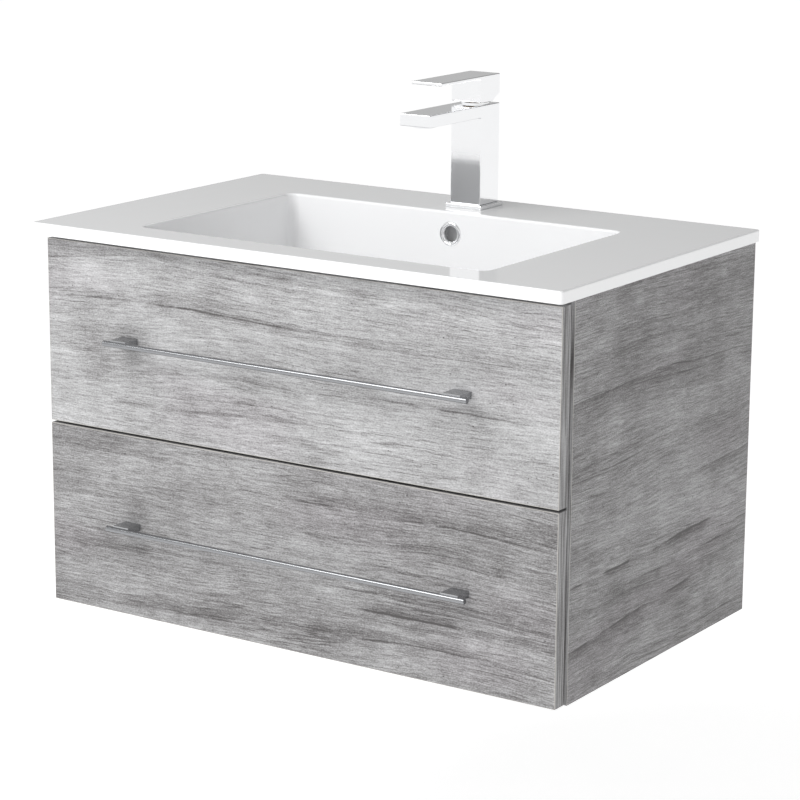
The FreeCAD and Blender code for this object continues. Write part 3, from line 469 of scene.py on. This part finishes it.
def overflow_trim():
    """The overflow's trim ring, with a rolled lip round its mouth."""
    low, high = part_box("overflow_ring")
    middle = (low + high) / 2
    front, back = low[Y], high[Y]
    outer = (high[X] - low[X]) / 2
    bore, sleeve = outer - 6.0 * MM, outer - 5.0 * MM
    flange, roll, roll_steps = 2.4 * MM, 2.2 * MM, 12
    crest = outer - 2.3 * MM
    profile = [(bore, back), (bore, front + 3.4 * MM), (bore + 0.3 * MM, front + 2.2 * MM)]
    for step in range(roll_steps + 1):
        angle = math.pi * (1 - step / roll_steps)
        profile.append((crest + roll * math.cos(angle), front + roll - roll * math.sin(angle)))
    profile += [(outer - 0.1 * MM, front + flange), (sleeve, front + flange), (sleeve, back)]
    made = bmesh.new()
    revolve(made, profile, lambda across, up, along: (middle[X] + across, along, middle[Z] + up), 72)
    add_piece("overflow_trim", made, "overflow_ring", "cabinet", "chrome", smooth=True)


def aerator_grille():
    """The flow straightener in the spout's mouth: a rim, two rings and the spokes that hold them."""
    low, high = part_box("aerator_screen")
    middle = (low + high) / 2
    outer = (high[X] - low[X]) / 2
    foot, top = low[Z], high[Z]
    rim, wall, spokes = 1.1 * MM, 0.45 * MM, 12
    spoke_size = (outer - 0.6 * MM, wall, (top - foot) * 0.9)
    made = bmesh.new()
    for radius, thickness in ((outer, rim), (outer * 0.62, wall), (outer * 0.32, wall)):
        inner = radius - thickness
        revolve(made, [(radius, foot), (radius, top), (inner, top), (inner, foot)],
                lambda across, back, up: (middle[X] + across, middle[Y] + back, up), 48)
    for turn in range(spokes):
        spoke = bmesh.ops.create_cube(made, size=1.0)["verts"]
        turned = Matrix.Rotation(math.tau * turn / spokes, 3, "Z")
        bmesh.ops.scale(made, vec=spoke_size, verts=spoke)
        bmesh.ops.translate(made, vec=(spoke_size[X] / 2, 0, 0), verts=spoke)
        bmesh.ops.rotate(made, cent=(0, 0, 0), matrix=turned, verts=spoke)
        bmesh.ops.translate(made, vec=middle, verts=spoke)
    add_piece("aerator_grille", made, "aerator_screen", "cabinet", "plastic", smooth=False)


overflow_trim()
aerator_grille()


# ---------------------------------------------------------------------------------------------------------
# Stage, light and camera
# ---------------------------------------------------------------------------------------------------------

FLOOR_SIZE, FLOOR_HEIGHT = 120, -0.606


def stage():
    """A plain pale floor below the hanging cabinet."""
    bpy.ops.mesh.primitive_plane_add(size=FLOOR_SIZE, location=(0, 0, FLOOR_HEIGHT))
    floor = bpy.context.object
    floor.name = "floor"
    t = Tree("pale_floor")
    cloud = t.noise(even(0.5))
    tone = t.mix(cloud, (0.86, 0.86, 0.86), (0.88, 0.88, 0.88))
    floor.data.materials.append(t.surface(Base_Color=tone, Roughness=0.8, Emission_Color=(1, 1, 1),
                                          Emission_Strength=0.60))


def light(name, location, target, width, height, power):
    lamp = bpy.data.lights.new(name, "AREA")
    lamp.shape = "RECTANGLE"
    lamp.size, lamp.size_y = width, height
    lamp.energy = power
    made = bpy.data.objects.new(name, lamp)
    made.location = location
    aim = Vector(target) - Vector(location)
    made.rotation_euler = aim.to_track_quat("-Z", "Y").to_euler()
    bpy.context.scene.collection.objects.link(made)


def world():
    """A white studio: brightest in front of the object, and greyer overhead, to the right and behind."""
    made = bpy.data.worlds.new("studio")
    made.use_nodes = True
    bpy.context.scene.world = made
    tree = made.node_tree
    tree.nodes.clear()
    out = tree.nodes.new("ShaderNodeOutputWorld")
    sky = tree.nodes.new("ShaderNodeBackground")
    place = tree.nodes.new("ShaderNodeTexCoord")
    parts = tree.nodes.new("ShaderNodeSeparateXYZ")
    tree.links.new(place.outputs["Generated"], parts.inputs[0])
    level = None
    # Along each axis: where the level starts to fall, where it ends, and its level before and after.
    falls = (("Z", 0.05, 0.75, 1.15, 0.50), ("X", 0.10, 0.95, 1.0, 0.85), ("Y", -0.20, 0.65, 1.0, 0.45))
    for axis, start, end, brightest, darkest in falls:
        ramp = tree.nodes.new("ShaderNodeMapRange")
        ramp.interpolation_type = "SMOOTHSTEP"
        ramp.inputs["From Min"].default_value = start
        ramp.inputs["From Max"].default_value = end
        ramp.inputs["To Min"].default_value = brightest
        ramp.inputs["To Max"].default_value = darkest
        tree.links.new(parts.outputs[axis], ramp.inputs["Value"])
        if level is None:
            level = ramp.outputs["Result"]
            continue
        both = tree.nodes.new("ShaderNodeMath")
        both.operation = "MULTIPLY"
        tree.links.new(level, both.inputs[0])
        tree.links.new(ramp.outputs["Result"], both.inputs[1])
        level = both.outputs[0]
    tree.links.new(level, sky.inputs["Strength"])
    tree.links.new(sky.outputs[0], out.inputs["Surface"])
    sky.inputs["Color"].default_value = (1.0, 1.0, 1.0, 1.0)


def camera():
    """A long lens above and to the right of the front, looking slightly down."""
    data = bpy.data.cameras.new("camera")
    data.sensor_width = 36
    data.lens = 125.0
    made = bpy.data.objects.new("camera", data)
    turn, dip, roll = math.radians(33.53), math.radians(13.49), math.radians(-0.39)
    made.location = (1.8787, -3.0624, 0.8363)
    made.rotation_euler = (Matrix.Rotation(turn, 4, "Z") @ Matrix.Rotation(math.pi / 2 - dip, 4, "X")
                           @ Matrix.Rotation(-roll, 4, "Z")).to_euler()
    data.clip_start, data.clip_end = 0.1, 200
    bpy.context.scene.collection.objects.link(made)
    bpy.context.scene.camera = made


stage()
world()
light("key", (-0.9, -2.1, 2.0), (0, -0.4, 0), 1.8, 1.4, 46)
camera()

view = bpy.context.scene.view_settings
view.view_transform = "Standard"
view.look = "None"
